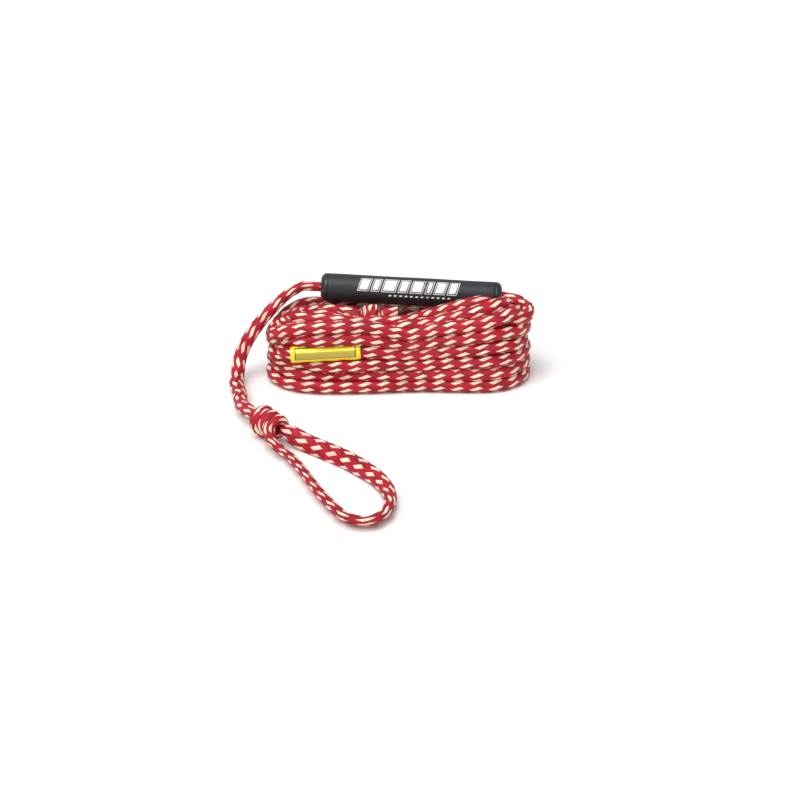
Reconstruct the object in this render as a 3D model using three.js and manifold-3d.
// A braided water-sports tow rope wound into a hank, with its foam float and one tow loop laid out.
// Units are millimetres. +Z is up, +X runs along the hank, -Y is the side that the tow loop lies on.
// The origin is on the ground, under the middle of the hank.

import * as THREE from "three";
import { mergeVertices } from "three/addons/utils/BufferGeometryUtils.js";
import Module from "manifold-3d";

const wasm = await Module();
wasm.setup();

// Driving dimensions
const ropeRadius = 9; // 18 mm hollow-braid rope
const ropeSides = 10;
const gap = 0.3; // between pieces that touch
const groundClearance = 0.4; // the resting rope's lowest line over the ground

const hank = {
  endX: 172, // furthest reach of its turns, each way
  sideY: 68,
  waistFrontY: 61, // the sides draw in a little at the waist
  waistBackY: 58,
  waistX: 35,
  splitY: 4, // the turns in front of this line stand higher than those that carry the float
};

const float = {
  leftEnd: new THREE.Vector3(-98, 25, 111),
  rightEnd: new THREE.Vector3(132, 25, 98),
  radius: 18,
  endRound: 7.5,
  capLength: 9,
  capLip: 3.7,
};
const straightLeft = 16; // rope that leaves the float straight, left and right
const straightRight = 6;
const straightLead = 6; // each stretch of rope starts and ends square to what it meets
const core = { inner: 10.2, outer: 12.2 };
const foamBore = 12.6;
const capBore = 10.5;

const label = { inner: 9.4, outer: 10.4, length: 87 };
const labelChannel = { x0: -139, x1: -31, innerY: -46, z0: 40, z1: 70 };
const labelledRope = {
  start: new THREE.Vector3(-138, -57, 51.7),
  end: new THREE.Vector3(-32, -57, 57.9),
};
const labelMiddle = 0.457; // share of the labelled rope's length

const knotNotch = { x0: -52, x1: 13, y0: -31, z0: 69 };
const endKnot = { x: -34.6, y: -14, z: 86, radius: 16, length: 29 };

const loopKnot = { centre: new THREE.Vector3(-152.5, -184, 21), radius: 21.2, length: 42 };
const loopKnotAxis = new THREE.Vector3(0.59, -0.81, 0).normalize();
const loopLegOffset = 9.3; // each leg of the loop, from the knot's axis

// Routes of the rope where it isn't wound, as points on its centre line.
const ropeLowZ = ropeRadius + groundClearance;
const tailRoute = [
  [-128, 24, 109],
  [-142, 19.5, 101.5],
  [-156, 11, 91],
  [-170, 3, 78],
  [-183.5, -4, 62],
  [-195, -9, 44],
  [-201.5, -17, 28],
  [-203, -30, 16],
  [-203.5, -47, 10.5],
  [-199.5, -66, ropeLowZ],
  [-195, -85, ropeLowZ],
  [-193, -104, ropeLowZ + 1],
  [-188, -123, ropeLowZ + 3],
  [-180.5, -142, ropeLowZ + 7],
];
const loopRoute = [
  [-121, -209, 15],
  [-105, -219, 10.5],
  [-84, -236, ropeLowZ],
  [-60, -258, ropeLowZ],
  [-38, -283, ropeLowZ],
  [-20, -309, ropeLowZ],
  [-10, -335, ropeLowZ],
  [-8, -361, ropeLowZ],
  [-15, -385, ropeLowZ],
  [-31, -400, ropeLowZ],
  [-52, -394, ropeLowZ],
  [-68, -371, ropeLowZ],
  [-82, -344, ropeLowZ],
  [-96, -312, ropeLowZ],
  [-111, -276, ropeLowZ],
  [-128, -243, ropeLowZ],
  [-143, -225, 12.5],
];

const materials = {
  rope: new THREE.MeshStandardMaterial({ color: 0xb8182f, roughness: 0.6, metalness: 0 }),
  label: new THREE.MeshStandardMaterial({ color: 0xe8d21a, roughness: 0.4, metalness: 0 }),
  foam: new THREE.MeshStandardMaterial({ color: 0x2b2e33, roughness: 0.7, metalness: 0 }),
  cap: new THREE.MeshStandardMaterial({ color: 0x1c1e22, roughness: 0.5, metalness: 0 }),
  core: new THREE.MeshStandardMaterial({ color: 0xd8d8d4, roughness: 0.4, metalness: 0 }),
  sealed: new THREE.MeshStandardMaterial({ color: 0x3a1a10, roughness: 0.3, metalness: 0 }),
};

const group = new THREE.Group();

function addPiece(name, geometry, material) {
  const mesh = new THREE.Mesh(geometry, material);
  mesh.name = name;
  group.add(mesh);
  return mesh;
}

// Turns a geometry's +Y axis to a direction and puts its origin at a place.
function placeAlong(mesh, place, direction) {
  mesh.position.copy(place);
  mesh.quaternion.setFromUnitVectors(new THREE.Vector3(0, 1, 0), direction);
}

function roundSection(radius, sides) {
  const shape = new THREE.Shape();
  for (let i = 0; i < sides; i++) {
    const angle = ((i + 0.5) * 2 * Math.PI) / sides;
    const x = radius * Math.cos(angle);
    const y = radius * Math.sin(angle);
    if (i === 0) shape.moveTo(x, y);
    else shape.lineTo(x, y);
  }
  shape.closePath();
  return shape;
}

function ropeAlong(points, steps) {
  const curve = new THREE.CatmullRomCurve3(points, false, "centripetal");
  return new THREE.ExtrudeGeometry(roundSection(ropeRadius, ropeSides), {
    steps,
    extrudePath: curve,
    bevelEnabled: false,
  });
}

const toVectors = (list) => list.map((p) => new THREE.Vector3(...p));

// A closed ring or barrel turned about +Y from [radius, height] pairs.
function turned(profile, sides) {
  return new THREE.LatheGeometry(
    profile.map(([r, y]) => new THREE.Vector2(r, y)),
    sides,
  );
}

function toSolid(geometry) {
  const bare = geometry.clone();
  bare.deleteAttribute("normal");
  bare.deleteAttribute("uv");
  const merged = mergeVertices(bare, 1e-3);
  return new wasm.Manifold(
    new wasm.Mesh({
      numProp: 3,
      vertProperties: new Float32Array(merged.attributes.position.array),
      triVerts: new Uint32Array(merged.index.array),
    }),
  );
}

function toGeometry(solid) {
  const mesh = solid.getMesh();
  const geometry = new THREE.BufferGeometry();
  geometry.setAttribute("position", new THREE.BufferAttribute(new Float32Array(mesh.vertProperties), 3));
  geometry.setIndex(new THREE.BufferAttribute(new Uint32Array(mesh.triVerts), 1));
  geometry.computeVertexNormals();
  return geometry;
}

// A box from its lowest corner to its highest, as a solid for cutting.
function boxSolid(low, high) {
  const box = new THREE.BoxGeometry(high[0] - low[0], high[1] - low[1], high[2] - low[2]);
  box.translate((low[0] + high[0]) / 2, (low[1] + high[1]) / 2, (low[2] + high[2]) / 2);
  return toSolid(box);
}

// The hank seen from above: two round ends, with sides drawn in at the waist.
function hankPlan(height) {
  const arcX = hank.endX - hank.sideY;
  const plan = new THREE.Shape();
  plan.moveTo(-arcX, -hank.sideY);
  plan.splineThru(
    [
      [-50, -hank.sideY + 1],
      [hank.waistX, -hank.waistFrontY],
      [arcX, -hank.sideY],
    ].map((p) => new THREE.Vector2(...p)),
  );
  plan.absarc(arcX, 0, hank.sideY, -Math.PI / 2, Math.PI / 2, false);
  plan.splineThru(
    [
      [hank.waistX, hank.waistBackY],
      [-50, hank.sideY - 2],
      [-arcX, hank.sideY],
    ].map((p) => new THREE.Vector2(...p)),
  );
  plan.absarc(-arcX, 0, hank.sideY, Math.PI / 2, (3 * Math.PI) / 2, false);
  return toSolid(new THREE.ExtrudeGeometry(plan, { depth: height, bevelEnabled: false, curveSegments: 10 }));
}

// The hank seen from the front, between two depths: flat underneath, with the given line along its top.
function hankSide(topLine, nearY, farY) {
  const side = new THREE.Shape();
  const footX = hank.endX - 12;
  side.moveTo(-footX, 0);
  side.lineTo(footX, 0);
  side.splineThru(topLine.map((p) => new THREE.Vector2(...p)));
  side.lineTo(-footX, 0);
  const slab = new THREE.ExtrudeGeometry(side, {
    depth: farY - nearY,
    bevelEnabled: false,
    curveSegments: 3,
  });
  slab.rotateX(Math.PI / 2); // the outline's y becomes z
  slab.translate(0, farY, 0);
  return toSolid(slab);
}

function hankGeometry() {
  // Both lines run from the right end over the top to the left end, as [x, z].
  const frontTop = [
    [168, 14],
    [172, 50],
    [165, 92],
    [148, 114],
    [128, 120],
    [88, 106],
    [40, 92],
    [-30, 95],
    [-90, 98],
    [-132, 93],
    [-158, 72],
    [-172, 40],
    [-168, 14],
  ];
  const backTop = [
    [168, 14],
    [172, 44],
    [162, 70],
    [130, 78],
    [70, 72],
    [10, 74],
    [-50, 86],
    [-100, 91],
    [-132, 90],
    [-158, 72],
    [-172, 40],
    [-168, 14],
  ];
  const front = hankSide(frontTop, -hank.sideY - 2, hank.splitY);
  const back = hankSide(backTop, hank.splitY, hank.sideY + 2);
  const channel = boxSolid(
    [labelChannel.x0, -hank.sideY - 5, labelChannel.z0],
    [labelChannel.x1, labelChannel.innerY, labelChannel.z1],
  );
  const notch = boxSolid(
    [knotNotch.x0, knotNotch.y0, knotNotch.z0],
    [knotNotch.x1, hank.splitY, 140],
  );
  const whole = front.add(back).intersect(hankPlan(140));
  return toGeometry(whole.subtract(channel).subtract(notch));
}

const floatAxis = float.rightEnd.clone().sub(float.leftEnd).normalize();
const floatLength = float.rightEnd.distanceTo(float.leftEnd);
const floatMiddle = float.leftEnd.clone().add(float.rightEnd).multiplyScalar(0.5);

function addFloat() {
  const foamHalf = floatLength / 2 - float.capLength - gap;
  const coreHalf = floatLength / 2 - float.capLip - gap;
  const foam = turned(
    [
      [foamBore, -foamHalf],
      [float.radius, -foamHalf],
      [float.radius, foamHalf],
      [foamBore, foamHalf],
      [foamBore, -foamHalf],
    ],
    28,
  );
  placeAlong(addPiece("foam_sleeve", foam, materials.foam), floatMiddle, floatAxis);
  const tube = turned(
    [
      [core.inner, -coreHalf],
      [core.outer, -coreHalf],
      [core.outer, coreHalf],
      [core.inner, coreHalf],
      [core.inner, -coreHalf],
    ],
    24,
  );
  placeAlong(addPiece("core_tube", tube, materials.core), floatMiddle, floatAxis);
  addEndCap("end_cap_left", float.leftEnd, floatAxis);
  addEndCap("end_cap_right", float.rightEnd, floatAxis.clone().negate());
}

// A domed ring over the end of the core tube: height 0 is its outer face, and it grows inwards.
function addEndCap(name, outerFace, inwards) {
  const profile = [[capBore, 0]];
  const roundSteps = 6;
  for (let i = 0; i <= roundSteps; i++) {
    const angle = ((Math.PI / 2) * i) / roundSteps;
    const r = float.radius - float.endRound * (1 - Math.sin(angle));
    profile.push([r, float.endRound * (1 - Math.cos(angle))]);
  }
  profile.push(
    [float.radius, float.capLength],
    [foamBore, float.capLength],
    [foamBore, float.capLip],
    [capBore, float.capLip],
    [capBore, 0],
  );
  const cap = turned(profile, 28);
  placeAlong(addPiece(name, cap, materials.cap), outerFace, inwards);
}

function addRopeThroughFloat() {
  const left = float.leftEnd.clone().addScaledVector(floatAxis, -straightLeft);
  const right = float.rightEnd.clone().addScaledVector(floatAxis, straightRight);
  addPiece("rope_in_float", ropeAlong([left, right], 1), materials.rope);
  const start = left.clone().addScaledVector(floatAxis, -gap);
  const knotFace = loopKnot.centre.clone().addScaledVector(loopKnotAxis, -loopKnot.length / 2 - gap);
  const tail = [
    start,
    start.clone().addScaledVector(floatAxis, -straightLead),
    ...toVectors(tailRoute),
    knotFace.clone().addScaledVector(loopKnotAxis, -straightLead),
    knotFace,
  ];
  addPiece("tail_rope", ropeAlong(tail, 26), materials.rope);
  addPiece("line_to_hank", ropeAlong(lineToHank(right), 7), materials.rope);
}

// From the float's right end the rope bends forward, round the hank's right end, into its top turn.
function lineToHank(straightEnd) {
  const bend = 24;
  const sweep = 1.1; // radians
  const drop = 7;
  const steps = 6;
  const lead = straightEnd.clone().addScaledVector(floatAxis, gap);
  const start = lead.clone().addScaledVector(floatAxis, straightLead);
  const points = [lead];
  for (let i = 0; i <= steps; i++) {
    const share = i / steps;
    const angle = sweep * share;
    points.push(
      new THREE.Vector3(
        start.x + bend * Math.sin(angle),
        start.y - bend * (1 - Math.cos(angle)),
        start.z - drop * share,
      ),
    );
  }
  return points;
}

function addTowLoop() {
  const knot = turned(
    [
      [0, -loopKnot.length / 2],
      [loopKnot.radius - 4, -loopKnot.length / 2],
      [loopKnot.radius, -loopKnot.length / 2 + 6],
      [loopKnot.radius, loopKnot.length / 2 - 6],
      [loopKnot.radius - 4, loopKnot.length / 2],
      [0, loopKnot.length / 2],
    ],
    12,
  );
  knot.rotateY(Math.PI / 12); // a flat side faces down
  placeAlong(addPiece("loop_knot", knot, materials.rope), loopKnot.centre, loopKnotAxis);

  const across = new THREE.Vector3(0, 0, 1).cross(loopKnotAxis);
  const face = loopKnot.centre.clone().addScaledVector(loopKnotAxis, loopKnot.length / 2 + gap);
  const rightLeg = face.clone().addScaledVector(across, loopLegOffset);
  const leftLeg = face.clone().addScaledVector(across, -loopLegOffset);
  const route = [
    rightLeg,
    rightLeg.clone().addScaledVector(loopKnotAxis, straightLead),
    ...toVectors(loopRoute),
    leftLeg.clone().addScaledVector(loopKnotAxis, straightLead),
    leftLeg,
  ];
  addPiece("tow_loop", ropeAlong(route, 40), materials.rope);
}

function addEndKnot() {
  const barrel = turned(
    [
      [0, -endKnot.length / 2],
      [endKnot.radius - 4, -endKnot.length / 2],
      [endKnot.radius, -endKnot.length / 2 + 5],
      [endKnot.radius, endKnot.length / 2 - 5],
      [endKnot.radius - 4, endKnot.length / 2],
      [0, endKnot.length / 2],
    ],
    16,
  );
  const along = new THREE.Vector3(1, 0, 0);
  const place = new THREE.Vector3(endKnot.x, endKnot.y, endKnot.z);
  placeAlong(addPiece("end_knot", barrel, materials.rope), place, along);

  const tailRise = 2; // over its length
  const startX = endKnot.x + endKnot.length / 2 + 3 * gap;
  const tailStart = new THREE.Vector3(startX, endKnot.y, endKnot.z + 3);
  const tailEnd = new THREE.Vector3(3, endKnot.y, endKnot.z + 3 + tailRise);
  addPiece("end_tail", ropeAlong([tailStart, tailEnd], 1), materials.rope);

  const seal = turned(
    [
      [0, 0],
      [ropeRadius - 0.6, 0],
      [ropeRadius - 0.8, 3.5],
      [ropeRadius - 3, 5.8],
      [0, 6.6],
    ],
    14,
  );
  const sealDirection = tailEnd.clone().sub(tailStart).normalize();
  const sealPlace = tailEnd.clone().addScaledVector(sealDirection, gap);
  placeAlong(addPiece("sealed_end", seal, materials.sealed), sealPlace, sealDirection);
}

function addLabel() {
  addPiece("labelled_rope", ropeAlong([labelledRope.start, labelledRope.end], 1), materials.rope);
  const ring = turned(
    [
      [label.inner, -label.length / 2],
      [label.outer, -label.length / 2],
      [label.outer, label.length / 2],
      [label.inner, label.length / 2],
      [label.inner, -label.length / 2],
    ],
    20,
  );
  const direction = labelledRope.end.clone().sub(labelledRope.start).normalize();
  const middle = labelledRope.start.clone().lerp(labelledRope.end, labelMiddle);
  placeAlong(addPiece("label_sleeve", ring, materials.label), middle, direction);
}

addPiece("hank", hankGeometry(), materials.rope);
addRopeThroughFloat();
addFloat();
addTowLoop();
addEndKnot();
addLabel();

export default group;
